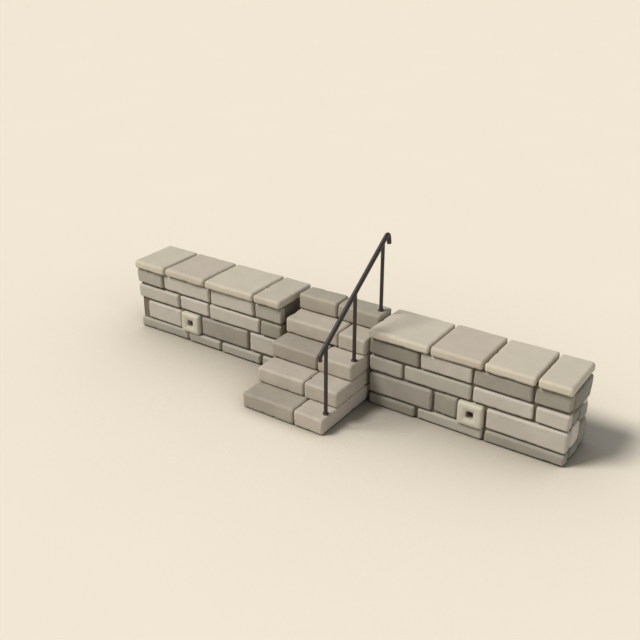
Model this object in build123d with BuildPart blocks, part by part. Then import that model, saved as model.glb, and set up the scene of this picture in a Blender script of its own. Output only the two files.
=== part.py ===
"""Dressed-stone retaining wall in two sections, with a flight of block steps through the opening.

Millimetres, +X along the wall, +Y into the retained side, +Z up.
The origin is on the ground, at the middle of the masonry's length and depth.
"""
import os
from math import atan2, cos, degrees, sin

from build123d import *

# --- wall sections ---
section_length = 2190.0          # one wall section, end to end
opening_width = 1165.0           # clear gap between the two sections
wall_depth = 570.0               # front face to back face
facing_depth = 125.0             # dressed stones at the front
backing_inset = 25.0             # backing stops short of the facing at each end
course_heights = (145.0, 256.0, 195.0, 204.0)   # from the ground up

# --- coping slabs ---
coping_thickness = 100.0
coping_front_overhang = 35.0
coping_back_overhang = 35.0
coping_end_overhang = 5.0
coping_joint = 20.0              # open joint between two slabs
coping_arris = 12.0              # worn edge of a slab
left_coping_joints = (480.0, 1100.0, 1820.0)    # joint centres from the section's left end
right_coping_joints = (700.0, 1287.0, 1830.0)

# --- weep stones, one in each section's second course ---
weep_course = 2
weep_width = 275.0
weep_projection = 28.0           # stands proud of the face
weep_side_joint = 10.0           # open joint each side
weep_bore = 76.0                 # square drain through the wall
weep_mouth = 150.0               # square mouth of the tapered recess
weep_recess = 28.0               # depth of the taper
weep_arris = 12.0
left_weep_centre = 834.0         # from the section's left end
right_weep_centre = 1180.0

# --- steps ---
step_count = 5
step_rise = 187.0
step_going = 265.0
stair_projection = 830.0         # first riser, in front of the wall's face
stair_gap_left = 110.0           # gap to the left section
stair_gap_right = 45.0           # gap to the right section
step_joint = 12.0                # open joint between the two blocks of a row
step_arris = 12.0
step_joint_offsets = (650.0, 595.0, 580.0, 670.0, 485.0)    # from the flight's left side

# --- rubble packing between the flight and each section ---
packing_setback = 140.0          # behind the wall's face
packing_rows = 3                 # rises as high as this row of steps

# --- handrail ---
post_rows = (1, 3, 5)            # rows that carry a post
post_edge_distance = 46.0        # post centre to the flight's right side
post_radius = 20.0
flange_radius = 32.0
flange_thickness = 13.0
flange_arris = 3.0
rail_radius = 25.0
rail_height = 785.0              # tread to the rail's centre line, at a post
rail_lower_run = 106.0           # rail beyond the first post, measured level
rail_lower_drop = 52.0           # upright tip below the lower bend
rail_upper_run = 104.0           # rail beyond the last post, measured level
rail_upper_tip_run = 24.0        # sloping tip beyond the upper bend, measured level
rail_upper_drop = 126.0          # sloping tip below the upper bend
rail_bend = 30.0                 # centre-line radius of each bend
saddle_gap = 0.3                 # post top to the rail's underside

# --- worked out from the sizes above ---
wall_height = sum(course_heights)
stair_width = opening_width - stair_gap_left - stair_gap_right
stair_left = -opening_width / 2 + stair_gap_left
stair_right = stair_left + stair_width
back_reach = max(wall_depth + coping_back_overhang, step_count * step_going - stair_projection)
face_y = (stair_projection - back_reach) / 2
stair_front = face_y - stair_projection
stair_back = stair_front + step_count * step_going


def course_bottom(course):
    """Height of the bed below a course, counted from 1."""
    return sum(course_heights[: course - 1])


def row_front(row):
    return stair_front + (row - 1) * step_going


def save(piece, label):
    piece.part.label = label
    export_step(piece.part, f"parts/{label}.step")


def box_block(x_range, y_range, z_range, arris):
    """A squared block between three pairs of limits, with every edge worn back."""
    width = x_range[1] - x_range[0]
    depth = y_range[1] - y_range[0]
    with BuildPart() as block:
        with BuildSketch(Plane.XY.offset(z_range[0])):
            with Locations(((x_range[0] + x_range[1]) / 2, (y_range[0] + y_range[1]) / 2)):
                Rectangle(width, depth)
        extrude(amount=z_range[1] - z_range[0])
        if arris > 0:
            chamfer(block.edges(), arris)
    return block


def wall_plane(x, y, z):
    """A plane on the wall's face that looks into the wall."""
    return Plane(origin=(x, y, z), x_dir=(1, 0, 0), z_dir=(0, 1, 0))


def facing_course(side, section_left, course, weep_centre):
    """One course of dressed stone. The weep course is cut to let its weep stone in."""
    bed = course_bottom(course)
    height = course_heights[course - 1]
    with BuildPart() as band:
        with BuildSketch(Plane.XY.offset(bed)):
            with Locations((section_left + section_length / 2, face_y + facing_depth / 2)):
                Rectangle(section_length, facing_depth)
        extrude(amount=height)
        if course == weep_course:
            with BuildSketch(wall_plane(section_left + weep_centre, face_y, bed + height / 2)):
                Rectangle(weep_width + 2 * weep_side_joint, height)
            extrude(amount=facing_depth, mode=Mode.SUBTRACT)
    save(band, f"{side}_course_{course}")


def weep_height():
    """Height of the drain's centre line, at mid height of its course."""
    return course_bottom(weep_course) + course_heights[weep_course - 1] / 2


def backing(side, section_left, weep_centre):
    """Rubble behind the facing, with the square drain right through it."""
    with BuildPart() as rubble:
        with BuildSketch():
            with Locations((section_left + section_length / 2, face_y + (facing_depth + wall_depth) / 2)):
                Rectangle(section_length - 2 * backing_inset, wall_depth - facing_depth)
        extrude(amount=wall_height)
        with BuildSketch(wall_plane(section_left + weep_centre, face_y, weep_height())):
            Rectangle(weep_bore, weep_bore)
        extrude(amount=wall_depth, mode=Mode.SUBTRACT)
    save(rubble, f"{side}_backing")


def weep_stone(side, section_left, weep_centre):
    """A square block that stands proud of the face, with a tapered mouth and a square drain."""
    front = face_y - weep_projection
    length = weep_projection + facing_depth
    centre = section_left + weep_centre
    taper = degrees(atan2((weep_mouth - weep_bore) / 2, weep_recess))
    with BuildPart() as stone:
        with BuildSketch(wall_plane(centre, front, weep_height())):
            Rectangle(weep_width, course_heights[weep_course - 1])
        extrude(amount=length)
        chamfer(stone.faces().sort_by(Axis.Y)[0].edges(), weep_arris)
        with BuildSketch(wall_plane(centre, front, weep_height())):
            Rectangle(weep_mouth, weep_mouth)
        extrude(amount=weep_recess, taper=taper, mode=Mode.SUBTRACT)
        with BuildSketch(wall_plane(centre, front, weep_height())):
            Rectangle(weep_bore, weep_bore)
        extrude(amount=length, mode=Mode.SUBTRACT)
    save(stone, f"{side}_weep_stone")


def coping(side, section_left, joints):
    """The slabs on top of a section, with open joints between them."""
    start = section_left - coping_end_overhang
    finish = section_left + section_length + coping_end_overhang
    lefts = [start] + [section_left + joint + coping_joint / 2 for joint in joints]
    rights = [section_left + joint - coping_joint / 2 for joint in joints] + [finish]
    depth_range = (face_y - coping_front_overhang, face_y + wall_depth + coping_back_overhang)
    height_range = (wall_height, wall_height + coping_thickness)
    for number, slab_range in enumerate(zip(lefts, rights), start=1):
        slab = box_block(slab_range, depth_range, height_range, coping_arris)
        save(slab, f"{side}_coping_{number}")


def wall_section(side, section_left, weep_centre, joints):
    for course in range(1, len(course_heights) + 1):
        facing_course(side, section_left, course, weep_centre)
    backing(side, section_left, weep_centre)
    weep_stone(side, section_left, weep_centre)
    coping(side, section_left, joints)


def steps():
    """Rows of two blocks, each running back under the rows above it."""
    for row in range(1, step_count + 1):
        joint = stair_left + step_joint_offsets[row - 1]
        depth_range = (row_front(row), stair_back)
        height_range = ((row - 1) * step_rise, row * step_rise)
        left_block = box_block((stair_left, joint - step_joint / 2), depth_range, height_range, step_arris)
        save(left_block, f"step_{row}_left")
        right_block = box_block((joint + step_joint / 2, stair_right), depth_range, height_range, step_arris)
        save(right_block, f"step_{row}_right")


def packing():
    """Rubble that closes the gap on each side of the flight, behind the facing."""
    backing_end = opening_width / 2 + backing_inset
    packed_back = min(stair_back, face_y + wall_depth)
    for side, x_range in (("left", (-backing_end, stair_left)), ("right", (stair_right, backing_end))):
        depth_range = (face_y + packing_setback, packed_back)
        fill = box_block(x_range, depth_range, (0, packing_rows * step_rise), 0)
        save(fill, f"{side}_packing")


def post_y(row):
    """A post stands at mid tread."""
    return row_front(row) + step_going / 2


def rail_axis_height(y):
    """Height of the rail's centre line, parallel to the flight's pitch."""
    first_row = post_rows[0]
    rise_over_run = step_rise / step_going
    return first_row * step_rise + rail_height + (y - post_y(first_row)) * rise_over_run


def handrail():
    """Three round posts on base flanges, and a sloping round rail with turned-down tips."""
    rail_x = stair_right - post_edge_distance
    pitch = atan2(step_rise, step_going)
    along_rail = (0, cos(pitch), sin(pitch))
    for number, row in enumerate(post_rows, start=1):
        tread = row * step_rise
        y = post_y(row)
        with BuildPart() as flange:
            with BuildSketch(Plane.XY.offset(tread)):
                with Locations((rail_x, y)):
                    Circle(flange_radius)
            extrude(amount=flange_thickness)
            chamfer(flange.faces().sort_by(Axis.Z)[-1].edges(), flange_arris)
        save(flange, f"post_flange_{number}")
        foot = tread + flange_thickness
        with BuildPart() as post:
            with BuildSketch(Plane.XY.offset(foot)):
                with Locations((rail_x, y)):
                    Circle(post_radius)
            extrude(amount=rail_axis_height(y) - foot)
            with BuildSketch(Plane(origin=(rail_x, y, rail_axis_height(y)), z_dir=along_rail)):
                Circle(rail_radius + saddle_gap)
            extrude(amount=4 * rail_radius, both=True, mode=Mode.SUBTRACT)
        save(post, f"post_{number}")

    lower_bend = post_y(post_rows[0]) - rail_lower_run
    upper_bend = post_y(post_rows[-1]) + rail_upper_run
    route_points = (
        (lower_bend, rail_axis_height(lower_bend) - rail_lower_drop),
        (lower_bend, rail_axis_height(lower_bend)),
        (upper_bend, rail_axis_height(upper_bend)),
        (upper_bend + rail_upper_tip_run, rail_axis_height(upper_bend) - rail_upper_drop),
    )
    with BuildPart() as rail:
        with BuildLine(Plane.YZ.offset(rail_x)) as route:
            FilletPolyline(*route_points, radius=rail_bend)
        with BuildSketch(Plane(origin=route.line @ 0, z_dir=route.line % 0)):
            Circle(rail_radius)
        sweep()
    save(rail, "handrail")


os.makedirs("parts", exist_ok=True)
wall_section("left", -opening_width / 2 - section_length, left_weep_centre, left_coping_joints)
wall_section("right", opening_width / 2, right_weep_centre, right_coping_joints)
steps()
packing()
handrail()
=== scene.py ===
"""Dressed-stone retaining wall with block steps and a metal handrail, finished around its CAD frame.

Each operator makes one group of like pieces in place of, or on top of, the CAD nodes.
Lengths are metres. +X runs along the wall, +Y into the retained side, +Z up.
"""

import math
import random

import bmesh
import bpy
from bpy.props import FloatProperty, FloatVectorProperty, IntProperty, PointerProperty
from mathutils import Euler, Matrix, Vector, noise


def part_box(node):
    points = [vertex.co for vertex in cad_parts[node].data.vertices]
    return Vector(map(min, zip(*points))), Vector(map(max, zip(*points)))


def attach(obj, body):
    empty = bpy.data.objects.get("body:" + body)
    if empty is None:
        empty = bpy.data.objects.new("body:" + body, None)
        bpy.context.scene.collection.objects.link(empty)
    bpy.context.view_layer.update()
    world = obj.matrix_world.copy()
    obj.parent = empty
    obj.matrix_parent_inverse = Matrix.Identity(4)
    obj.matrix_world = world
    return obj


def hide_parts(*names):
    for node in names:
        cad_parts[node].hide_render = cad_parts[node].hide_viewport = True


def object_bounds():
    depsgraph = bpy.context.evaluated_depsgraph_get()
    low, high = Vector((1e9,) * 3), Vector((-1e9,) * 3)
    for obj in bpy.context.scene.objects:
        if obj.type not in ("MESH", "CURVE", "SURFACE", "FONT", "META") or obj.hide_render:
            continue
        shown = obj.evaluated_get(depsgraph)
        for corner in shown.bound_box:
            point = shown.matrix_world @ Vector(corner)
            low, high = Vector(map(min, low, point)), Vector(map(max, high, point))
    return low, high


bl_info = {
    "name": "Stone Retaining Wall",
    "version": (1, 0, 0),
    "blender": (4, 5, 0),
    "location": "3D View > Sidebar > Stone Wall",
    "description": "Dressed stones, rubble backing, coping, steps and handrail on a CAD frame",
    "category": "Add Mesh",
}

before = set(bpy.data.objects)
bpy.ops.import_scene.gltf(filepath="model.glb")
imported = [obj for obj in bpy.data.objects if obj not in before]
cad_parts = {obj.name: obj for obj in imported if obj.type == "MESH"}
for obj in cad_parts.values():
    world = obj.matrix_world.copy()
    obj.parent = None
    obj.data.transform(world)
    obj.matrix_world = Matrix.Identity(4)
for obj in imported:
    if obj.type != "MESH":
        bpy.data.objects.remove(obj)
CAD_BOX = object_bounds()

SIDES = ("left", "right")
COURSES = (1, 2, 3, 4)
WEEP_COURSE = 2
STEP_ROWS = (1, 2, 3, 4, 5)
POSTS = (1, 2, 3)

# Upright joints of each course, from the section's left end. Course 2 also breaks at its weep stone.
UPRIGHT_JOINTS = {
    "left": {1: (0.775, 1.292, 1.895), 2: (1.718,), 3: (0.669, 1.127, 1.888), 4: (0.41, 1.149, 1.81)},
    "right": {1: (0.573, 1.335), 2: (0.754,), 3: (0.403, 1.173, 1.831), 4: (0.585, 1.173, 1.805)},
}
BARE_END = {("left", 2): 0.115}  # length of core laid bare by a stone missing at the outer end of a course
FACE_OFFSETS = (-0.006, 0.007)  # how far a facing stone may stand out or back
GROUND_GAP = 0.01  # open bed under the lowest course
FACING_BACK_GAP = 0.02  # space behind the facing stones
MORTAR_END_INSETS = {"left": 0.02, "right": 0.045}  # how far the mortar stops short of a section's ends

WEEP_DROP = 0.012  # weep stones hang this far below their nodes
WEEP_SIDE_GAP = 0.032  # the wide joint on a weep stone's right
WEEP_ARRIS = 0.026
WEEP_BORE = 0.08  # width of the square drain in a weep stone
WEEP_MOUTH = 0.15  # width of the dish round the drain
DISH_DEPTH = 0.009
DISH_SLOPE = 0.02  # width of the sloping sides of the dish
DRAIN_CORNER = 0.027  # rounding of the drain's four corners
CORE_BORE = 0.076  # width of the drain behind the weep stone
OUTLET_RIM = 0.08  # half the width of the stone rim where a drain comes out at the back
DRAIN_CLEAR = 0.075  # half the width of the space that rubble leaves round a drain

STEP_BED = 0.007  # open bed under a step block
STEP_LEFT_REACH = 0.013  # how far the left blocks run out past the flight's side
TOP_STEP_REACH = 0.015  # the same for the top right block
SLAB_BED = 0.003  # open bed under a coping slab
SHORT_END = 0.009  # the last slab on the right stops this much short

RUBBLE_DEPTH = 0.14  # how deep the rubble stones run in
RUBBLE_OVERLAP = 0.006  # how far neighbouring rubble stones run into each other
PACKING_ROWS = 4
PACKING_COLUMNS = 3

HELD_EDGE = 0.002  # width of the strip that keeps a face flat right up to its rounded edge
WAVE_SCALE, GRAIN_SCALE, CHIP_SCALE = 5.5, 42.0, 13.0  # waves, grain and chips to a metre
CHIP_START = 0.15  # noise above this bites a chip out of an edge

BOLT_CIRCLE = 0.82  # the bolts' distance from the post, as a share of the flange's radius
BEAD_RADIUS = 0.0032
BEAD_OFFSET = 0.0012  # how far the weld bead's centre stands off the post and the flange

FLOOR_REACH = 150.0
CONTACT_REACH = 3.4  # how far the painted contact shade spreads over the floor
CAMERA_PLACE = (4.7735, -7.0119, 5.0279)
CAMERA_DIP = 26.055  # degrees below level
CAMERA_TURN = 34.107  # degrees round from looking along +Y

# Shade of each stone from dark (0) to light (1), and its hue from olive (0) to warm (1), left to right.
FACING_SHADES = {
    "left": {
        1: ((0.58, 0.2), (0.62, 0.4), (0.6, 0.4), (0.6, 0.5)),
        2: ((0.94, 0.6), (0.3, 0.8), (0.85, 0.5)),
        3: ((0.85, 0.3), (0.96, 0.9), (0.86, 0.4), (0.25, 0.0)),
        4: ((0.61, 0.1), (0.96, 0.5), (0.92, 0.7), (0.55, 0.3)),
    },
    "right": {
        1: ((0.16, 0.0), (0.64, 0.3), (0.33, 0.4)),
        2: ((0.33, 0.9), (0.28, 0.2), (0.94, 0.6)),
        3: ((0.57, 0.4), (0.6, 0.2), (0.92, 0.6), (0.94, 0.6)),
        4: ((0.13, 0.5), (0.84, 0.6), (0.31, 0.7), (0.33, 0.3)),
    },
}
COPING_SHADES = {
    "left": ((0.9, 0.5), (0.5, 0.8), (0.9, 0.5), (0.5, 0.6)),
    "right": ((1.0, 0.6), (0.5, 0.8), (0.9, 0.5), (0.9, 0.5)),
}
STEP_SHADES = {
    1: ((0.44, 0.7), (0.85, 0.8)),
    2: ((0.8, 0.8), (0.8, 0.7)),
    3: ((0.42, 0.7), (0.8, 0.8)),
    4: ((0.78, 0.8), (0.8, 0.5)),
    5: ((0.56, 0.3), (0.5, 0.2)),
}

# Rough stones on the open end of the right section: depth range, height range, reach, then shade and hue.
END_STONES = (
    ((0.262, 0.712), (0.53, 0.797), 2.7745, (0.15, 0.4)),
    ((0.26, 0.5), (0.385, 0.515), 2.752, (0.2, 0.4)),
    ((0.475, 0.703), (0.315, 0.515), 2.762, (0.35, 0.2)),
    ((0.266, 0.49), (0.1, 0.375), 2.7765, (1.0, 0.6)),
    ((0.485, 0.712), (0.0, 0.3), 2.7755, (0.3, 0.3)),
    ((0.268, 0.53), (0.0, 0.118), 2.768, (0.25, 0.1)),
)


# --- settings ---

COLOUR = {"size": 3, "subtype": "COLOR", "min": 0.0, "max": 1.0}


class WallSizes(bpy.types.PropertyGroup):
    """Sizes of the stones and of the way they are worn"""

    stone_joint: FloatProperty(
        name="Stone joint", description="Open upright joint between two facing stones",
        default=0.026, min=0.0, unit="LENGTH")
    bed_joint: FloatProperty(
        name="Bed joint", description="Open level joint between two courses",
        default=0.028, min=0.0, unit="LENGTH")
    mortar_recess: FloatProperty(
        name="Mortar recess", description="How far the mortar sits behind the face of the stones",
        default=0.034, min=0.0, unit="LENGTH")
    facing_arris: FloatProperty(
        name="Facing arris", description="Width of the rounded edges of facing stones",
        default=0.021, min=0.001, unit="LENGTH")
    coping_arris: FloatProperty(
        name="Coping arris", description="Width of the rounded edges of coping slabs",
        default=0.027, min=0.001, unit="LENGTH")
    step_arris: FloatProperty(
        name="Step arris", description="Width of the rounded edges of step blocks",
        default=0.023, min=0.001, unit="LENGTH")
    cell: FloatProperty(
        name="Cell", description="Spacing of the points on a stone's face",
        default=0.014, min=0.004, unit="LENGTH")
    core_inset: FloatProperty(
        name="Core inset", description="How far the packed core sits behind the rubble stones",
        default=0.045, min=0.0, unit="LENGTH")
    rubble_course: FloatProperty(
        name="Rubble course", description="Usual height of a course of rubble",
        default=0.21, min=0.05, unit="LENGTH")
    seed: IntProperty(
        name="Seed", description="Start of every random choice", default=11, min=0)


class WallColours(bpy.types.PropertyGroup):
    """Colours of the stones, the mortar and the metal"""

    light_stone: FloatVectorProperty(
        name="Light stone", description="Colour of the palest stones",
        default=(0.482, 0.446, 0.39), **COLOUR)
    dark_stone: FloatVectorProperty(
        name="Dark stone", description="Colour of the darkest stones",
        default=(0.202, 0.184, 0.149), **COLOUR)
    coping_light: FloatVectorProperty(
        name="Light coping", description="Colour of the palest slabs",
        default=(0.538, 0.482, 0.392), **COLOUR)
    coping_dark: FloatVectorProperty(
        name="Dark coping", description="Colour of the darkest slabs",
        default=(0.435, 0.378, 0.308), **COLOUR)
    rubble_light: FloatVectorProperty(
        name="Light rubble", description="Colour of the palest rubble",
        default=(0.56, 0.515, 0.45), **COLOUR)
    rubble_dark: FloatVectorProperty(
        name="Dark rubble", description="Colour of the darkest rubble",
        default=(0.2, 0.188, 0.158), **COLOUR)
    step_light: FloatVectorProperty(
        name="Light step", description="Colour of the palest step blocks",
        default=(0.487, 0.432, 0.36), **COLOUR)
    step_dark: FloatVectorProperty(
        name="Dark step", description="Colour of the darkest step blocks",
        default=(0.203, 0.179, 0.14), **COLOUR)
    weep_stone: FloatVectorProperty(
        name="Weep stone", description="Colour of the stones round the drains",
        default=(0.515, 0.484, 0.402), **COLOUR)
    # Used only inside the drains: the dark of damp stone and painted shade.
    damp_stone: FloatVectorProperty(
        name="Damp and shaded stone", description="Colour of the drains' damp inside, with painted shade",
        default=(0.36, 0.305, 0.25), **COLOUR)
    mortar: FloatVectorProperty(
        name="Mortar", description="Colour of the packed joints and core",
        default=(0.165, 0.136, 0.1), **COLOUR)
    rail_paint: FloatVectorProperty(
        name="Rail paint", description="Colour of the painted handrail",
        default=(0.02, 0.011, 0.0085), **COLOUR)


class StageSettings(bpy.types.PropertyGroup):
    """Floor, lights and camera"""

    floor_colour: FloatVectorProperty(
        name="Floor", description="Colour of the floor", default=(0.832, 0.75, 0.618), **COLOUR)
    sky_colour: FloatVectorProperty(
        name="Backdrop", description="Colour of the backdrop above the floor",
        default=(0.89, 0.806, 0.665), **COLOUR)
    sun_strength: FloatProperty(
        name="Key light", description="Strength of the key light", default=3.04, min=0.0)
    sun_spread: FloatProperty(
        name="Key light spread", description="Angle that the key light fills, which softens its shadows",
        default=math.radians(20.0), min=0.0, unit="ROTATION")
    fill_strength: FloatProperty(
        name="Fill light", description="Strength of the even light from all round", default=0.285, min=0.0)
    side_strength: FloatProperty(
        name="Side light", description="Strength of the low, cool light on the end faces", default=0.5,
        min=0.0)
    side_spread: FloatProperty(
        name="Side light spread", description="Angle that the side light fills",
        default=math.radians(50.0), min=0.0, unit="ROTATION")
    lens: FloatProperty(
        name="Lens", description="Focal length in millimetres", default=50.0, min=1.0)


# --- mesh helpers ---

def hash_seed(*words):
    """A repeatable whole number for a list of words and numbers."""
    total = 0
    for letter in "/".join(str(word) for word in words):
        total = (total * 131 + ord(letter)) % 1000003
    return total


def squared_block(low, high):
    """A plain block between two corners."""
    block = bmesh.new()
    bmesh.ops.create_cube(block, size=1.0)
    bmesh.ops.scale(block, vec=high - low, verts=block.verts)
    bmesh.ops.translate(block, vec=(low + high) / 2, verts=block.verts)
    return block


def round_edges(block, edges, width, segments, clamp=False):
    bmesh.ops.bevel(
        block, geom=edges, offset=width, segments=segments, profile=0.5, affect="EDGES", material=-1,
        clamp_overlap=clamp)


def rounded_block(low, high, arris, cell):
    """A block with rounded edges, its faces divided into a grid."""
    size = high - low
    block = squared_block(-size / 2, size / 2)
    round_edges(block, block.edges[:], arris, 2)
    flat = sorted(block.faces, key=lambda face: face.calc_area())[-6:]
    bmesh.ops.inset_individual(block, faces=flat, thickness=HELD_EDGE, use_even_offset=True)
    for axis in range(3):
        along = [edge for edge in block.edges if runs_along(edge, axis) and edge.calc_length() > 1.6 * cell]
        if along:
            cuts = max(1, round(along[0].calc_length() / cell) - 1)
            bmesh.ops.subdivide_edges(block, edges=along, cuts=cuts, use_grid_fill=True)
    bmesh.ops.translate(block, vec=(low + high) / 2, verts=block.verts)
    return block


def runs_along(edge, axis):
    span = edge.verts[1].co - edge.verts[0].co
    return abs(span[axis]) > 0.999 * span.length


def mark_stone(block, low, high, shade, hue, wear_and_highlight_band=0.03):
    """Stores the stone's shade and hue, and how near each point is to an edge."""
    shade_layer = block.verts.layers.float.new("shade")
    hue_layer = block.verts.layers.float.new("hue")
    edge_layer = block.verts.layers.float.new("edge")
    for vert in block.verts:
        gaps = sorted(min(vert.co[axis] - low[axis], high[axis] - vert.co[axis]) for axis in range(3))
        vert[shade_layer] = shade
        vert[hue_layer] = hue
        vert[edge_layer] = max(0.0, 1.0 - gaps[1] / wear_and_highlight_band)


def skew(block, low, high, amount, dice):
    """Moves the eight corners a little, and everything between them with them."""
    size = high - low
    shifts = {}
    for corner in range(8):
        shifts[corner] = Vector([dice.uniform(-amount, amount) for _ in range(3)])
    for vert in block.verts:
        part = [(vert.co[axis] - low[axis]) / size[axis] for axis in range(3)]
        move = Vector((0.0, 0.0, 0.0))
        for corner, shift in shifts.items():
            weight = 1.0
            for axis in range(3):
                weight *= part[axis] if corner >> axis & 1 else 1.0 - part[axis]
            move += shift * weight
        vert.co += move


def weather(block, dice, swell, grain, chips):
    """Moves points in and out: long waves, fine grain, and bites out of the edges."""
    edge_layer = block.verts.layers.float.get("edge")
    start = Vector([dice.uniform(-50.0, 50.0) for _ in range(3)])
    block.normal_update()
    moves = []
    for vert in block.verts:
        place = vert.co + start
        wave = noise.noise(place * WAVE_SCALE) * swell
        rough = noise.noise(place * GRAIN_SCALE) * grain
        bite = max(0.0, noise.noise(place * CHIP_SCALE) - CHIP_START) * chips * vert[edge_layer]
        moves.append(vert.normal * (wave + rough - bite))
    for vert, move in zip(block.verts, moves):
        vert.co += move


def add_to(whole, block):
    """Adds one finished stone to the mesh of its piece."""
    loose = bpy.data.meshes.new("loose")
    block.to_mesh(loose)
    block.free()
    whole.from_mesh(loose)
    bpy.data.meshes.remove(loose)


def add_dressed_stone(whole, low, high, arris, cell, shade, dice, skew_by=0.003, swell=0.0022, grain=0.0008,
                      chips=0.012):
    """One dressed stone between two corners."""
    block = rounded_block(low, high, arris, cell)
    mark_stone(block, low, high, *shade)
    skew(block, low, high, skew_by, dice)
    weather(block, dice, swell, grain, chips)
    add_to(whole, block)


def add_rubble_stone(whole, low, high, shade, dice):
    """One rough stone: the hull of a few scattered points, with its edges knocked off."""
    size = high - low
    rock = bmesh.new()
    for corner in range(8):
        pull = Vector([dice.uniform(0.03, 0.17) * size[axis] for axis in range(3)])
        near, far = low + pull, high - pull
        rock.verts.new([far[axis] if corner >> axis & 1 else near[axis] for axis in range(3)])
    for axis in range(3):
        for limit in (low, high):
            for _ in range(2):
                point = [low[k] + size[k] * dice.uniform(0.2, 0.8) for k in range(3)]
                point[axis] = limit[axis]
                rock.verts.new(point)
    hull = bmesh.ops.convex_hull(rock, input=rock.verts[:])
    inside = [v for v in hull["geom_interior"] if isinstance(v, bmesh.types.BMVert)]
    bmesh.ops.delete(rock, geom=inside, context="VERTS")
    round_edges(rock, rock.edges[:], 0.06 * min(size), 2, clamp=True)
    bmesh.ops.triangulate(rock, faces=rock.faces[:])
    for _ in range(2):
        long_edges = [edge for edge in rock.edges if edge.calc_length() > 0.035]
        bmesh.ops.subdivide_edges(rock, edges=long_edges, cuts=1)
        bmesh.ops.triangulate(rock, faces=rock.faces[:])
        bmesh.ops.smooth_vert(
            rock, verts=rock.verts[:], factor=0.4, use_axis_x=True, use_axis_y=True, use_axis_z=True)
    bmesh.ops.recalc_face_normals(rock, faces=rock.faces[:])
    mark_stone(rock, low, high, *shade, wear_and_highlight_band=0.25 * min(size))
    weather(rock, dice, swell=0.006, grain=0.0025, chips=0.01)
    add_to(whole, rock)


def finish_piece(whole, name, material, replaced=(), smooth=True):
    """Makes the object, gives it its finish and hides the CAD nodes that it stands for."""
    mesh = bpy.data.meshes.new(name)
    whole.to_mesh(mesh)
    whole.free()
    mesh.polygons.foreach_set("use_smooth", [smooth] * len(mesh.polygons))
    mesh.materials.append(material)
    piece = bpy.data.objects.new(name, mesh)
    bpy.context.scene.collection.objects.link(piece)
    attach(piece, "root")
    if replaced:
        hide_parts(*replaced)


def outer_face(block, outward):
    """The widest face that looks along Y, to the front for -1 and to the back for 1."""
    return max(block.faces, key=lambda face: (round(face.normal.y * outward, 3), face.calc_area()))


def inset_square(block, face, thickness, centre, width):
    """Insets a face, and moves its corners onto a square in X and Z about a centre."""
    bmesh.ops.inset_region(block, faces=[face], thickness=thickness, use_even_offset=True)
    middle = face.calc_center_median()
    for vert in face.verts:
        vert.co.x = centre.x + math.copysign(width / 2, vert.co.x - middle.x)
        vert.co.z = centre.z + math.copysign(width / 2, vert.co.z - middle.z)


def pierce(block, centre, width):
    """Opens a square hole right through a block, along Y."""
    loops = []
    for outward in (-1.0, 1.0):
        face = outer_face(block, outward)
        inset_square(block, face, 0.02, centre, width)
        loops += face.edges[:]
        bmesh.ops.delete(block, geom=[face], context="FACES_ONLY")
    bmesh.ops.bridge_loops(block, edges=loops)


# --- shader groups ---

def new_group(name, inputs, outputs):
    """An empty shader group with its sockets, and its input and output nodes."""
    group = bpy.data.node_groups.new(name, "ShaderNodeTree")
    for socket_name, kind, value in inputs:
        socket = group.interface.new_socket(socket_name, in_out="INPUT", socket_type=kind)
        if value is not None:
            socket.default_value = value
    for socket_name, kind in outputs:
        group.interface.new_socket(socket_name, in_out="OUTPUT", socket_type=kind)
    return group, group.nodes.new("NodeGroupInput"), group.nodes.new("NodeGroupOutput")


def math_node(tree, operation, first, second=None, clamp=False):
    node = tree.nodes.new("ShaderNodeMath")
    node.operation = operation
    node.use_clamp = clamp
    for socket, value in zip(node.inputs, (first, second)):
        if isinstance(value, (int, float)):
            socket.default_value = value
        elif value is not None:
            tree.links.new(value, socket)
    return node.outputs[0]


def noise_node(tree, vector, scale, detail, roughness=0.5):
    node = tree.nodes.new("ShaderNodeTexNoise")
    node.inputs["Detail"].default_value = detail
    node.inputs["Roughness"].default_value = roughness
    tree.links.new(vector, node.inputs["Vector"])
    if isinstance(scale, (int, float)):
        node.inputs["Scale"].default_value = scale
    else:
        tree.links.new(scale, node.inputs["Scale"])
    return node.outputs["Fac"]


def remap(tree, value, low, high, new_low, new_high):
    node = tree.nodes.new("ShaderNodeMapRange")
    node.inputs["From Min"].default_value = low
    node.inputs["From Max"].default_value = high
    node.inputs["To Min"].default_value = new_low
    node.inputs["To Max"].default_value = new_high
    tree.links.new(value, node.inputs["Value"])
    return node.outputs["Result"]


def cloud_range(tree, grain, low, high):
    """The clouds of a stone grain, from a low value to a high one."""
    return remap(tree, grain.outputs["Cloud"], 0.3, 0.7, low, high)


def colour_mix(tree, mode, factor, first, second):
    node = tree.nodes.new("ShaderNodeMix")
    node.data_type = "RGBA"
    node.blend_type = mode
    node.clamp_factor = True
    for socket, value in ((node.inputs[0], factor), (node.inputs[6], first), (node.inputs[7], second)):
        if isinstance(value, (int, float)):
            socket.default_value = value
        elif isinstance(value, tuple):
            socket.default_value = (*value, 1.0)
        else:
            tree.links.new(value, socket)
    return node.outputs[2]


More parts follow.
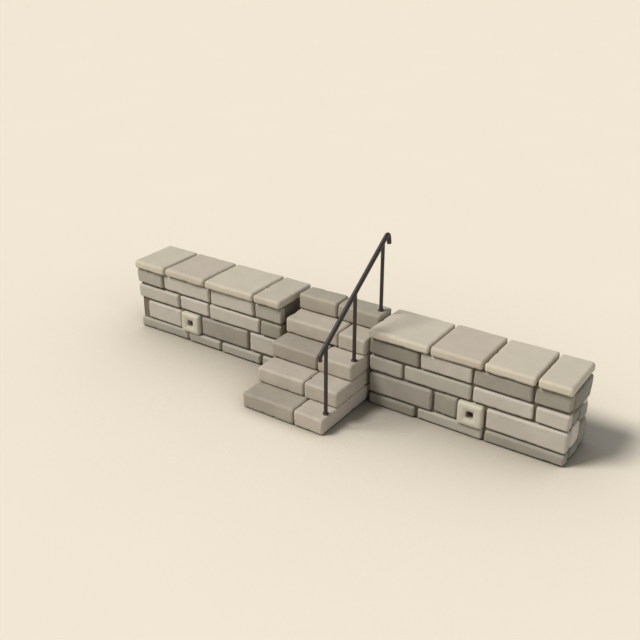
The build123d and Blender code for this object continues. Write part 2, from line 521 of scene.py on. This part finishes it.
def stone_grain_group():
    """Cloudy shade, small specks, pits and a height for bump, all in the stone's own space."""
    name = "Stone Grain"
    if name in bpy.data.node_groups:
        return bpy.data.node_groups[name]
    group, inlet, outlet = new_group(
        name,
        (("Vector", "NodeSocketVector", None), ("Coarseness", "NodeSocketFloat", 1.0)),
        (("Cloud", "NodeSocketFloat"), ("Speck", "NodeSocketFloat"), ("Pit", "NodeSocketFloat"),
         ("Height", "NodeSocketFloat")))
    spread = group.nodes.new("ShaderNodeVectorMath")
    spread.operation = "SCALE"
    group.links.new(inlet.outputs["Vector"], spread.inputs[0])
    group.links.new(inlet.outputs["Coarseness"], spread.inputs["Scale"])
    place = spread.outputs["Vector"]
    cloud = noise_node(group, place, 4.5, 4.0, 0.6)
    speck = noise_node(group, place, 210.0, 3.0, 0.7)
    ripple = noise_node(group, place, 32.0, 5.0, 0.65)
    cells = group.nodes.new("ShaderNodeTexVoronoi")
    cells.inputs["Scale"].default_value = 75.0
    group.links.new(place, cells.inputs["Vector"])
    pit = remap(group, cells.outputs["Distance"], 0.08, 0.2, 1.0, 0.0)
    sparse = remap(group, noise_node(group, place, 14.0, 2.0), 0.52, 0.66, 0.0, 1.0)
    pits = math_node(group, "MULTIPLY", pit, sparse, clamp=True)
    relief = math_node(group, "ADD", ripple, math_node(group, "MULTIPLY", speck, 0.22))
    height = math_node(group, "SUBTRACT", relief, math_node(group, "MULTIPLY", pits, 0.5))
    group.links.new(cloud, outlet.inputs["Cloud"])
    group.links.new(speck, outlet.inputs["Speck"])
    group.links.new(pits, outlet.inputs["Pit"])
    group.links.new(height, outlet.inputs["Height"])
    return group


def worn_edge_group():
    """A broken mask along a piece's edges, from how near each point is to one. It pales the edges, partly as
    wear and partly as a painted highlight.
    """
    name = "Wear And Highlight Edge"
    if name in bpy.data.node_groups:
        return bpy.data.node_groups[name]
    group, inlet, outlet = new_group(
        name,
        (("Vector", "NodeSocketVector", None), ("Nearness", "NodeSocketFloat", 0.0),
         ("Break-up", "NodeSocketFloat", 24.0)),
        (("Mask", "NodeSocketFloat"),))
    ragged = noise_node(group, inlet.outputs["Vector"], inlet.outputs["Break-up"], 4.0, 0.6)
    reach = math_node(group, "ADD", inlet.outputs["Nearness"], math_node(group, "MULTIPLY", ragged, 0.7))
    group.links.new(remap(group, reach, 0.75, 1.35, 0.0, 1.0), outlet.inputs["Mask"])
    return group


def place_group(tree, group, **links):
    """Places a shader group in a material, with its inputs set or linked."""
    node = tree.nodes.new("ShaderNodeGroup")
    node.node_tree = group
    for socket_name, value in links.items():
        socket = node.inputs[socket_name]
        if isinstance(value, (int, float)):
            socket.default_value = value
        else:
            tree.links.new(value, socket)
    return node


def start_material(name):
    material = bpy.data.materials.new(name)
    material.use_nodes = True
    tree = material.node_tree
    shader = tree.nodes["Principled BSDF"]
    place = tree.nodes.new("ShaderNodeTexCoord").outputs["Object"]
    return material, tree, shader, place


def attribute(tree, name):
    node = tree.nodes.new("ShaderNodeAttribute")
    node.attribute_name = name
    return node.outputs["Fac"]


def grey(tree, value):
    node = tree.nodes.new("ShaderNodeCombineColor")
    for socket in node.inputs[:3]:
        tree.links.new(value, socket)
    return node.outputs["Color"]


def shaded(tree, colour, value):
    """A colour made lighter or darker by a value."""
    return colour_mix(tree, "MULTIPLY", 1.0, colour, grey(tree, value))


def stone_material(name, dark, light, cloud_depth=0.1, wear_and_highlight_lift=0.22, bump=0.35, coarseness=1.0):
    """Stone whose shade and hue come from each stone, with clouds, specks, pits and pale edges, which are
    partly wear and partly a painted highlight.
    """
    if name in bpy.data.materials:
        return bpy.data.materials[name]
    material, tree, shader, place = start_material(name)
    grain = place_group(tree, stone_grain_group(), Vector=place, Coarseness=coarseness)
    wear_and_highlight_band = place_group(tree, worn_edge_group(), Vector=place, Nearness=attribute(tree, "edge"))
    base = colour_mix(tree, "MIX", attribute(tree, "shade"), tuple(dark), tuple(light))
    tint = colour_mix(tree, "MIX", attribute(tree, "hue"), (0.985, 1.0, 0.94), (1.015, 0.992, 0.985))
    base = colour_mix(tree, "MULTIPLY", 1.0, base, tint)
    cloud = cloud_range(tree, grain, 1.0 - cloud_depth, 1.0 + cloud_depth)
    base = shaded(tree, base, cloud)
    speck = remap(tree, grain.outputs["Speck"], 0.35, 0.65, 0.93, 1.07)
    base = shaded(tree, base, speck)
    pitted = math_node(tree, "MULTIPLY", grain.outputs["Pit"], 0.45)
    base = colour_mix(tree, "MULTIPLY", pitted, base, (0.55, 0.5, 0.42))
    # Paler edges: partly wear, partly a painted highlight where the rounded edges catch the light.
    lift = math_node(tree, "MULTIPLY", wear_and_highlight_band.outputs["Mask"], wear_and_highlight_lift)
    pale = colour_mix(tree, "MULTIPLY", 1.0, base, (1.45, 1.43, 1.38))
    base = colour_mix(tree, "MIX", lift, base, pale)
    tree.links.new(base, shader.inputs["Base Color"])
    tree.links.new(cloud_range(tree, grain, 0.82, 0.94), shader.inputs["Roughness"])
    shader.inputs["Specular IOR Level"].default_value = 0.25
    add_bump(tree, shader, grain.outputs["Height"], bump, 0.004)
    return material


def add_bump(tree, shader, height, strength, distance):
    node = tree.nodes.new("ShaderNodeBump")
    node.inputs["Strength"].default_value = strength
    node.inputs["Distance"].default_value = distance
    tree.links.new(height, node.inputs["Height"])
    tree.links.new(node.outputs["Normal"], shader.inputs["Normal"])


def mortar_material(name, colour):
    """Crumbly earth-brown packing."""
    if name in bpy.data.materials:
        return bpy.data.materials[name]
    material, tree, shader, place = start_material(name)
    grain = place_group(tree, stone_grain_group(), Vector=place, Coarseness=2.2)
    shade = cloud_range(tree, grain, 0.75, 1.3)
    base = shaded(tree, tuple(colour), shade)
    speck = remap(tree, grain.outputs["Speck"], 0.35, 0.65, 0.8, 1.25)
    base = shaded(tree, base, speck)
    tree.links.new(base, shader.inputs["Base Color"])
    tree.links.new(cloud_range(tree, grain, 0.9, 1.0), shader.inputs["Roughness"])
    shader.inputs["Specular IOR Level"].default_value = 0.15
    add_bump(tree, shader, grain.outputs["Height"], 0.8, 0.006)
    return material


def rail_material(name, colour):
    """Dark painted steel with a slight orange-peel and faintly rubbed patches."""
    if name in bpy.data.materials:
        return bpy.data.materials[name]
    material, tree, shader, place = start_material(name)
    grain = place_group(tree, stone_grain_group(), Vector=place, Coarseness=1.5)
    shade = cloud_range(tree, grain, 0.8, 1.35)
    base = shaded(tree, tuple(colour), shade)
    rubbed = math_node(tree, "MULTIPLY", grain.outputs["Pit"], 0.3)
    base = colour_mix(tree, "MIX", rubbed, base, (0.1, 0.085, 0.075))
    tree.links.new(base, shader.inputs["Base Color"])
    tree.links.new(remap(tree, grain.outputs["Speck"], 0.3, 0.7, 0.38, 0.55), shader.inputs["Roughness"])
    shader.inputs["Coat Weight"].default_value = 0.15
    shader.inputs["Coat Roughness"].default_value = 0.35
    add_bump(tree, shader, grain.outputs["Speck"], 0.15, 0.001)
    return material


# --- shared places ---

def sizes():
    return bpy.context.scene.wall_sizes


def colours():
    return bpy.context.scene.wall_colours


def dice_for(*words):
    return random.Random(hash_seed(sizes().seed, *words))


def facing_stone_material():
    return stone_material(
        "facing_stone_finish", colours().dark_stone, colours().light_stone, cloud_depth=0.07)


def coping_stone_material():
    return stone_material(
        "coping_stone_finish", colours().coping_dark, colours().coping_light, cloud_depth=0.04, wear_and_highlight_lift=0.0,
        bump=0.28)


def step_stone_material():
    return stone_material(
        "step_stone_finish", colours().step_dark, colours().step_light, cloud_depth=0.08, wear_and_highlight_lift=0.16,
        bump=0.3)


def weep_stone_material():
    return stone_material(
        "weep_stone_finish", colours().damp_stone, colours().weep_stone, cloud_depth=0.05, wear_and_highlight_lift=0.12,
        bump=0.25)


def rubble_stone_material():
    return stone_material(
        "rubble_stone_finish", colours().rubble_dark, colours().rubble_light, cloud_depth=0.16, wear_and_highlight_lift=0.2,
        bump=0.6, coarseness=0.8)


def packed_mortar_material():
    return mortar_material("packed_mortar_finish", colours().mortar)


def course_spans(side, course):
    """Left and right limits of each stone in a course, with the weep stone's own space left out."""
    low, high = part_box(f"{side}_course_{course}")
    cuts = [low.x + BARE_END.get((side, course), 0.0)]
    cuts += [low.x + joint for joint in UPRIGHT_JOINTS[side][course]]
    cuts.append(high.x)
    half_joint = sizes().stone_joint / 2
    gaps = {low.x: 0.0, high.x: half_joint if side == "right" else 0.0}
    weep_low, weep_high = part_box(f"{side}_weep_stone")
    if course == WEEP_COURSE:
        cuts = sorted(cuts + [weep_low.x, weep_high.x])
        gaps[weep_high.x] = WEEP_SIDE_GAP
    spans = zip(cuts, cuts[1:])
    return [
        (left + gaps.get(left, half_joint), right - gaps.get(right, half_joint))
        for left, right in spans if left != weep_low.x]


# --- operators ---

class WALL_OT_facing(bpy.types.Operator):
    """Dressed stones of the eight facing courses"""

    bl_idname = "wall.facing"
    bl_label = "Facing Stones"

    def execute(self, context):
        for side in SIDES:
            for course in COURSES:
                self.make_course(side, course)
        return {"FINISHED"}

    def make_course(self, side, course):
        node = f"{side}_course_{course}"
        low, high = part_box(node)
        bed = sizes().bed_joint / 2
        bottom = low.z + (bed if course > 1 else GROUND_GAP)
        whole = bmesh.new()
        stones = zip(course_spans(side, course), FACING_SHADES[side][course])
        for number, ((left, right), shade) in enumerate(stones):
            dice = dice_for(side, course, number)
            near = Vector((left, low.y + dice.uniform(*FACE_OFFSETS), bottom))
            far = Vector((right, high.y - FACING_BACK_GAP, high.z - bed))
            add_dressed_stone(
                whole, near, far, sizes().facing_arris, sizes().cell, shade, dice,
                skew_by=0.0065)
        finish_piece(whole, f"{node}_stones", facing_stone_material(), (node,))


class WALL_OT_mortar(bpy.types.Operator):
    """Recessed mortar between the facing stones"""

    bl_idname = "wall.mortar"
    bl_label = "Mortar Joints"

    def execute(self, context):
        for side in SIDES:
            whole = bmesh.new()
            for course in COURSES:
                self.add_bars(whole, side, course)
            finish_piece(whole, f"{side}_mortar", packed_mortar_material())
        return {"FINISHED"}

    def add_bars(self, whole, side, course):
        low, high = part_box(f"{side}_course_{course}")
        inset = MORTAR_END_INSETS[side]
        spans = [(low.x + inset, high.x - inset)]
        if course == WEEP_COURSE:
            weep_low, weep_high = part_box(f"{side}_weep_stone")
            spans = [(low.x + inset, weep_low.x + 0.004), (weep_high.x - 0.004, high.x - inset)]
        for number, (left, right) in enumerate(spans):
            near = Vector((left, low.y + sizes().mortar_recess, low.z + 0.001))
            far = Vector((right, high.y - 0.002, high.z))
            block = rounded_block(near, far, 0.004, 0.05)
            mark_stone(block, near, far, 0.5, 0.5)
            weather(block, dice_for("mortar", side, course, number), 0.003, 0.002, 0.0)
            add_to(whole, block)


class WALL_OT_weep_stones(bpy.types.Operator):
    """Square stones with a tapered mouth and a drain right through them"""

    bl_idname = "wall.weep_stones"
    bl_label = "Weep Stones"

    def execute(self, context):
        for side in SIDES:
            self.make_stone(side)
        return {"FINISHED"}

    def make_stone(self, side):
        """A rounded block with a shallow square dish in front, and the drain from the dish to the back."""
        node = f"{side}_weep_stone"
        low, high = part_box(node)
        drop = Vector((0.0, 0.0, WEEP_DROP))
        drain = (low + high) / 2 - drop
        low, high = low - drop, high - drop
        stone = squared_block(low, high)
        round_edges(stone, stone.edges[:], WEEP_ARRIS, 3)
        dish = (
            (WEEP_MOUTH, 0.0), (WEEP_MOUTH - 2 * DISH_SLOPE, DISH_DEPTH), (WEEP_BORE + 0.016, DISH_DEPTH),
            (WEEP_BORE, DISH_DEPTH + 0.008))
        outlet = ((WEEP_BORE + 0.06, 0.0), (WEEP_BORE, 0.0))
        loops = []
        for outward, surface, rings in ((-1.0, low.y, dish), (1.0, high.y, outlet)):
            face = outer_face(stone, outward)
            for width, depth in rings:
                inset_square(stone, face, 0.004, drain, width)
                for vert in face.verts:
                    vert.co.y = surface + depth
            loops += face.edges[:]
            bmesh.ops.delete(stone, geom=[face], context="FACES_ONLY")
        bmesh.ops.bridge_loops(stone, edges=loops)
        tunnel = [
            e for e in stone.edges if runs_along(e, 1) and (e.verts[0].co - drain).xz.length < WEEP_BORE]
        round_edges(stone, tunnel, DRAIN_CORNER, 4)
        for _ in range(3):
            long_edges = [e for e in stone.edges if e.calc_length() > 0.016]
            bmesh.ops.subdivide_edges(stone, edges=long_edges, cuts=1, use_grid_fill=True)
        bmesh.ops.triangulate(stone, faces=[f for f in stone.faces if len(f.verts) > 4])
        bmesh.ops.recalc_face_normals(stone, faces=stone.faces[:])
        mark_stone(stone, low, high, 1.0, 0.45)
        # Painted shade with damp: the inside of the drain is darkened.
        self.dampen(stone, drain, low.y + DISH_DEPTH + 0.006)
        dice = dice_for("weep", side)
        skew(stone, low, high, 0.003, dice)
        weather(stone, dice, 0.0015, 0.0008, 0.008)
        finish_piece(stone, f"{side}_weep_block", weep_stone_material(), (node,))

    def dampen(self, stone, drain, front):
        """Darkens the inside of the drain: partly damp, partly painted shade."""
        shade_layer = stone.verts.layers.float.get("shade")
        for vert in stone.verts:
            if vert.co.y > front and (vert.co - drain).xz.length < 0.7 * WEEP_BORE:
                vert[shade_layer] = 0.0


class WALL_OT_coping(bpy.types.Operator):
    """Coping slabs along the top of both sections"""

    bl_idname = "wall.coping"
    bl_label = "Coping Slabs"

    def execute(self, context):
        for side in SIDES:
            for number, shade in enumerate(COPING_SHADES[side], start=1):
                node = f"{side}_coping_{number}"
                low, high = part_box(node)
                dice = dice_for(node)
                whole = bmesh.new()
                low = low + Vector((0.0, dice.uniform(-0.004, 0.006), SLAB_BED))
                if high.x > CAD_BOX[1][0] - 0.001:
                    high = high - Vector((SHORT_END, 0.0, 0.0))
                add_dressed_stone(
                    whole, low, high, sizes().coping_arris, sizes().cell, shade, dice, skew_by=0.005,
                    swell=0.0025, chips=0.024)
                finish_piece(whole, f"{node}_slab", coping_stone_material(), (node,))
        return {"FINISHED"}


class WALL_OT_steps(bpy.types.Operator):
    """Step blocks, two to a row"""

    bl_idname = "wall.steps"
    bl_label = "Step Blocks"

    def execute(self, context):
        for row in STEP_ROWS:
            for side, shade in zip(SIDES, STEP_SHADES[row]):
                node = f"step_{row}_{side}"
                low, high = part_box(node)
                dice = dice_for(node)
                whole = bmesh.new()
                low = low + Vector((-STEP_LEFT_REACH if side == "left" else 0.0, 0.0, STEP_BED))
                if node == f"step_{STEP_ROWS[-1]}_right":
                    high = high + Vector((TOP_STEP_REACH, 0.0, 0.0))
                add_dressed_stone(
                    whole, low, high, sizes().step_arris, sizes().cell, shade, dice, skew_by=0.0045,
                    swell=0.0025, chips=0.022)
                finish_piece(whole, f"{node}_block", step_stone_material(), (node,))
        return {"FINISHED"}


class WALL_OT_rubble(bpy.types.Operator):
    """Packed core behind the facing, with rough rubble on its back and ends"""

    bl_idname = "wall.rubble"
    bl_label = "Rubble Backing"

    def execute(self, context):
        for side in SIDES:
            low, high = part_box(f"{side}_backing")
            weep_low, weep_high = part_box(f"{side}_weep_stone")
            drain = (weep_low + weep_high) / 2
            self.make_core(side, low, high, drain)
            self.make_stones(side, low, high, drain)
        return {"FINISHED"}

    def make_core(self, side, low, high, drain):
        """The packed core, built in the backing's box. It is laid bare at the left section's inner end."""
        near = low + Vector((0.012, -0.001, 0.002))
        far = high - Vector((0.012 if side == "right" else 0.0, sizes().core_inset, 0.001))
        core = squared_block(near, far)
        pierce(core, drain, CORE_BORE)
        mark_stone(core, near, far, 0.5, 0.5)
        finish_piece(core, f"{side}_core", packed_mortar_material(), smooth=False)

    def make_stones(self, side, low, high, drain):
        whole = bmesh.new()
        dice = dice_for("rubble", side)
        back = (Vector((low.x, high.y - RUBBLE_DEPTH, low.z)), Vector((high.x, high.y + 0.022, high.z)))
        self.add_face(whole, back, 0, dice, drain)
        end_low = Vector((low.x - 0.014, low.y - 0.014, low.z))
        end_high = Vector((low.x + RUBBLE_DEPTH, high.y - RUBBLE_DEPTH * 0.6, high.z))
        self.add_face(whole, (end_low, end_high), 1, dice, None)
        if side == "right":
            for (front, rear), (bottom, top), reach, shade in END_STONES:
                near = Vector((high.x - RUBBLE_DEPTH, front, bottom))
                add_rubble_stone(whole, near, Vector((reach, rear, top)), shade, dice)
        self.add_outlet(whole, high, drain, dice)
        node = f"{side}_backing"
        finish_piece(whole, f"{side}_rubble", rubble_stone_material(), (node,), smooth=False)

    def add_face(self, whole, limits, axis, dice, drain):
        """Rough courses of rubble over one face. The stones run along the given axis."""
        low, high = limits
        bottom = low.z
        for rows in range(round((high.z - low.z) / sizes().rubble_course), 0, -1):
            top = high.z if rows == 1 else bottom + (high.z - bottom) / rows * dice.uniform(0.8, 1.2)
            left = low[axis]
            while left < high[axis] - 0.01:
                right = left + dice.uniform(0.2, 0.4)
                if high[axis] - right < 0.16:
                    right = high[axis]
                self.add_one(whole, limits, axis, (left, right), (bottom, top), dice, drain)
                left = right
            bottom = top

    def add_one(self, whole, limits, axis, span, level, dice, drain):
        low, high = limits[0].copy(), limits[1].copy()
        low[axis], high[axis] = span[0] - RUBBLE_OVERLAP, span[1] + RUBBLE_OVERLAP
        low.z, high.z = max(0.0, level[0] - RUBBLE_OVERLAP), min(limits[1].z, level[1] + RUBBLE_OVERLAP)
        shade = (dice.uniform(0.0, 1.0), dice.uniform(0.1, 0.7))
        if drain is not None and all(
                low[k] < drain[k] + DRAIN_CLEAR and high[k] > drain[k] - DRAIN_CLEAR for k in (0, 2)):
            self.add_round_drain(whole, low, high, shade, dice, drain)
        else:
            add_rubble_stone(whole, low, high, shade, dice)

    def add_round_drain(self, whole, low, high, shade, dice, drain):
        """Keeps the drain open: only what is left of the stone on each side of it is laid."""
        left, right = drain.x - DRAIN_CLEAR, drain.x + DRAIN_CLEAR
        inner_left, inner_right = max(low.x, left), min(high.x, right)
        pieces = (
            (low, Vector((left, high.y, high.z))),
            (Vector((right, low.y, low.z)), high),
            (Vector((inner_left, low.y, drain.z + DRAIN_CLEAR)), Vector((inner_right, high.y, high.z))),
            (Vector((inner_left, low.y, low.z)), Vector((inner_right, high.y, drain.z - DRAIN_CLEAR))),
        )
        for near, far in pieces:
            if min(far - near) > 0.03:
                add_rubble_stone(whole, near, far, shade, dice)

    def add_outlet(self, whole, high, drain, dice):
        """Four flat slips of stone round the drain where it comes out at the back."""
        half, rim = CORE_BORE / 2, OUTLET_RIM
        bars = (
            ((-rim, -rim), (rim, -half)), ((-rim, half), (rim, rim)),
            ((-rim, -half), (-half, half)), ((half, -half), (rim, half)))
        for (left, bottom), (right, top) in bars:
            near = Vector((drain.x + left, high.y - 0.1, drain.z + bottom))
            far = Vector((drain.x + right, high.y - 0.002, drain.z + top))
            add_dressed_stone(
                whole, near, far, 0.006, 0.02, (0.6, 0.5), dice, skew_by=0.001, swell=0.001,
                chips=0.004)


class WALL_OT_packing(bpy.types.Operator):
    """Rubble packed into the gap on each side of the flight"""

    bl_idname = "wall.packing"
    bl_label = "Packing"

    def execute(self, context):
        for side in SIDES:
            low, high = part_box(f"{side}_packing")
            dice = dice_for("packing", side)
            core_low = low + Vector((0.004, 0.03, 0.002))
            core_high = high - Vector((0.004, 0.03, 0.03))
            whole = rounded_block(core_low, core_high, 0.006, 0.05)
            mark_stone(whole, core_low, core_high, 0.1, 0.5)
            rise, run = (high.z - low.z) / PACKING_ROWS, (high.y - low.y) / PACKING_COLUMNS
            for row in range(PACKING_ROWS):
                for column in range(PACKING_COLUMNS):
                    front, rear = low.y + column * run, low.y + (column + 1) * run
                    bottom, top = low.z + row * rise, low.z + (row + 1) * rise
                    near = Vector((low.x + 0.002, front, bottom))
                    far = Vector((high.x - 0.002, rear, top))
                    shade = (dice.uniform(0.0, 0.6), dice.uniform(0.2, 0.6))
                    add_rubble_stone(whole, near, far, shade, dice)
            name = f"{side}_packing_stones"
            finish_piece(whole, name, rubble_stone_material(), (f"{side}_packing",), smooth=False)
        return {"FINISHED"}


class WALL_OT_handrail(bpy.types.Operator):
    """Paint for the posts, flanges and rail, with bolts in each flange and a weld round each post"""

    bl_idname = "wall.handrail"
    bl_label = "Handrail"

    def execute(self, context):
        paint = rail_material("rail_paint_finish", colours().rail_paint)
        nodes = ["handrail"] + [f"post_{n}" for n in POSTS] + [f"post_flange_{n}" for n in POSTS]
        for node in nodes:
            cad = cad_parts[node]
            cad.data.materials.clear()
            cad.data.materials.append(paint)
        for number in POSTS:
            self.make_bolts(number, paint)
            self.make_weld(number, paint)
        return {"FINISHED"}

    def make_bolts(self, number, paint):
        low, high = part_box(f"post_flange_{number}")
        centre = (low + high) / 2
        reach = (high.x - low.x) / 2 * BOLT_CIRCLE
        whole = bmesh.new()
        for degrees in (45.0, 135.0, 225.0, 315.0):
            angle = math.radians(degrees)
            bolt = bmesh.new()
            bmesh.ops.create_cone(
                bolt, cap_ends=True, segments=12, radius1=0.0034, radius2=0.0028, depth=0.003)
            round_edges(bolt, bolt.edges[:], 0.0004, 2)
            x, y = centre.x + reach * math.cos(angle), centre.y + reach * math.sin(angle)
            bmesh.ops.translate(bolt, vec=(x, y, high.z + 0.0012), verts=bolt.verts)
            add_to(whole, bolt)
        finish_piece(whole, f"post_{number}_bolts", paint, smooth=False)

    def make_weld(self, number, paint):
        """A rounded bead where the post meets its flange."""
        low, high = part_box(f"post_{number}")
        centre = (low + high) / 2
        origin = (0.0, 0.0, 0.0)
        bead = bmesh.new()
        ring = bmesh.ops.create_circle(bead, segments=10, radius=BEAD_RADIUS)["verts"]
        bmesh.ops.rotate(bead, cent=origin, matrix=Matrix.Rotation(math.pi / 2, 3, "X"), verts=ring)
        start = ((high.x - low.x) / 2 + BEAD_OFFSET, 0.0, BEAD_OFFSET)
        bmesh.ops.translate(bead, vec=start, verts=ring)
        bmesh.ops.spin(
            bead, geom=bead.verts[:] + bead.edges[:], cent=origin, axis=(0.0, 0.0, 1.0), angle=math.tau,
            steps=40, use_merge=True)
        bmesh.ops.remove_doubles(bead, verts=bead.verts[:], dist=1e-6)
        bmesh.ops.recalc_face_normals(bead, faces=bead.faces[:])
        bmesh.ops.translate(bead, vec=(centre.x, centre.y, low.z), verts=bead.verts)
        finish_piece(bead, f"post_{number}_weld", paint)


class WALL_OT_stage(bpy.types.Operator):
    """Pale floor, soft lights and the camera"""

    bl_idname = "wall.stage"
    bl_label = "Stage"

    def execute(self, context):
        self.make_floor(context)
        self.make_lights(context)
        self.make_camera(context)
        return {"FINISHED"}

    def make_floor(self, context):
        floor_mesh = bpy.data.meshes.new("floor")
        sheet = bmesh.new()
        bmesh.ops.create_grid(sheet, x_segments=1, y_segments=1, size=FLOOR_REACH)
        sheet.to_mesh(floor_mesh)
        sheet.free()
        material, tree, shader, place = start_material("floor_finish")
        mottle = remap(tree, noise_node(tree, place, 0.7, 3.0), 0.3, 0.7, 0.995, 1.005)
        colour = shaded(tree, tuple(context.scene.stage_settings.floor_colour), mottle)
        # Painted contact shade: the floor's colour is darkened by ambient occlusion near the wall and steps.
        contact = tree.nodes.new("ShaderNodeAmbientOcclusion")
        contact.samples = 8
        contact.inputs["Distance"].default_value = CONTACT_REACH
        colour = shaded(tree, colour, math_node(tree, "POWER", contact.outputs["AO"], 0.95))
        tree.links.new(colour, shader.inputs["Base Color"])
        shader.inputs["Roughness"].default_value = 1.0
        shader.inputs["Specular IOR Level"].default_value = 0.0
        floor_mesh.materials.append(material)
        floor = bpy.data.objects.new("floor", floor_mesh)
        context.scene.collection.objects.link(floor)

    def make_lights(self, context):
        """A warm key light, a low cool light on the end faces, and even light from all round."""
        settings = context.scene.stage_settings
        self.add_sun(
            context, "key_light", settings.sun_strength, settings.sun_spread, (1.0, 0.985, 0.96),
            elevation=51.0, azimuth=-45.0)
        self.add_sun(
            context, "side_light", settings.side_strength, settings.side_spread, (0.9, 0.99, 1.08),
            elevation=14.0, azimuth=78.0)
        world = bpy.data.worlds.new("studio")
        world.use_nodes = True
        context.scene.world = world
        tree = world.node_tree
        tree.nodes.clear()
        fill = tree.nodes.new("ShaderNodeBackground")
        fill.inputs["Color"].default_value = (0.96, 1.0, 1.05, 1.0)
        fill.inputs["Strength"].default_value = settings.fill_strength
        backdrop = tree.nodes.new("ShaderNodeBackground")
        backdrop.inputs["Color"].default_value = (*settings.sky_colour, 1.0)
        path = tree.nodes.new("ShaderNodeLightPath")
        mix = tree.nodes.new("ShaderNodeMixShader")
        output = tree.nodes.new("ShaderNodeOutputWorld")
        tree.links.new(path.outputs["Is Camera Ray"], mix.inputs[0])
        tree.links.new(fill.outputs[0], mix.inputs[1])
        tree.links.new(backdrop.outputs[0], mix.inputs[2])
        tree.links.new(mix.outputs[0], output.inputs["Surface"])
        context.scene.view_settings.view_transform = "Standard"

    def add_sun(self, context, name, strength, spread, colour, elevation, azimuth):
        """A far light, its elevation above the ground, its azimuth 0 from the front and 90 from +X."""
        data = bpy.data.lights.new(name, "SUN")
        data.energy = strength
        data.angle = spread
        data.color = colour
        lamp = bpy.data.objects.new(name, data)
        lamp.rotation_euler = Euler((math.radians(90.0 - elevation), 0.0, math.radians(azimuth)))
        context.scene.collection.objects.link(lamp)

    def make_camera(self, context):
        data = bpy.data.cameras.new("camera")
        data.lens = context.scene.stage_settings.lens
        data.sensor_width = 36.0
        data.clip_end = 400.0
        camera = bpy.data.objects.new("camera", data)
        camera.location = CAMERA_PLACE
        camera.rotation_euler = Euler((math.radians(90.0 - CAMERA_DIP), 0.0, math.radians(CAMERA_TURN)))
        context.scene.collection.objects.link(camera)
        context.scene.camera = camera


class WALL_PT_panel(bpy.types.Panel):
    """Sizes, colours and operators of the wall"""

    bl_idname = "WALL_PT_panel"
    bl_label = "Stone Wall"
    bl_space_type = "VIEW_3D"
    bl_region_type = "UI"
    bl_category = "Stone Wall"

    def draw(self, context):
        for settings in (getattr(context.scene, name) for name in SETTINGS):
            box = self.layout.box()
            for name in settings.__annotations__:
                box.prop(settings, name)
        for operator in OPERATORS:
            self.layout.operator(operator.bl_idname)


SETTINGS = {"wall_sizes": WallSizes, "wall_colours": WallColours, "stage_settings": StageSettings}
OPERATORS = (
    WALL_OT_facing, WALL_OT_mortar, WALL_OT_weep_stones, WALL_OT_coping, WALL_OT_steps, WALL_OT_rubble,
    WALL_OT_packing, WALL_OT_handrail, WALL_OT_stage)


def register():
    for settings in SETTINGS.values():
        bpy.utils.register_class(settings)
    for name, settings in SETTINGS.items():
        setattr(bpy.types.Scene, name, PointerProperty(type=settings))
    for operator in OPERATORS:
        bpy.utils.register_class(operator)
    bpy.utils.register_class(WALL_PT_panel)


def unregister():
    bpy.utils.unregister_class(WALL_PT_panel)
    for operator in reversed(OPERATORS):
        bpy.utils.unregister_class(operator)
    for name, settings in SETTINGS.items():
        delattr(bpy.types.Scene, name)
        bpy.utils.unregister_class(settings)


def main():
    register()
    bpy.ops.wall.facing()
    bpy.ops.wall.mortar()
    bpy.ops.wall.weep_stones()
    bpy.ops.wall.coping()
    bpy.ops.wall.steps()
    bpy.ops.wall.rubble()
    bpy.ops.wall.packing()
    bpy.ops.wall.handrail()
    bpy.ops.wall.stage()


if __name__ == "__main__":
    main()
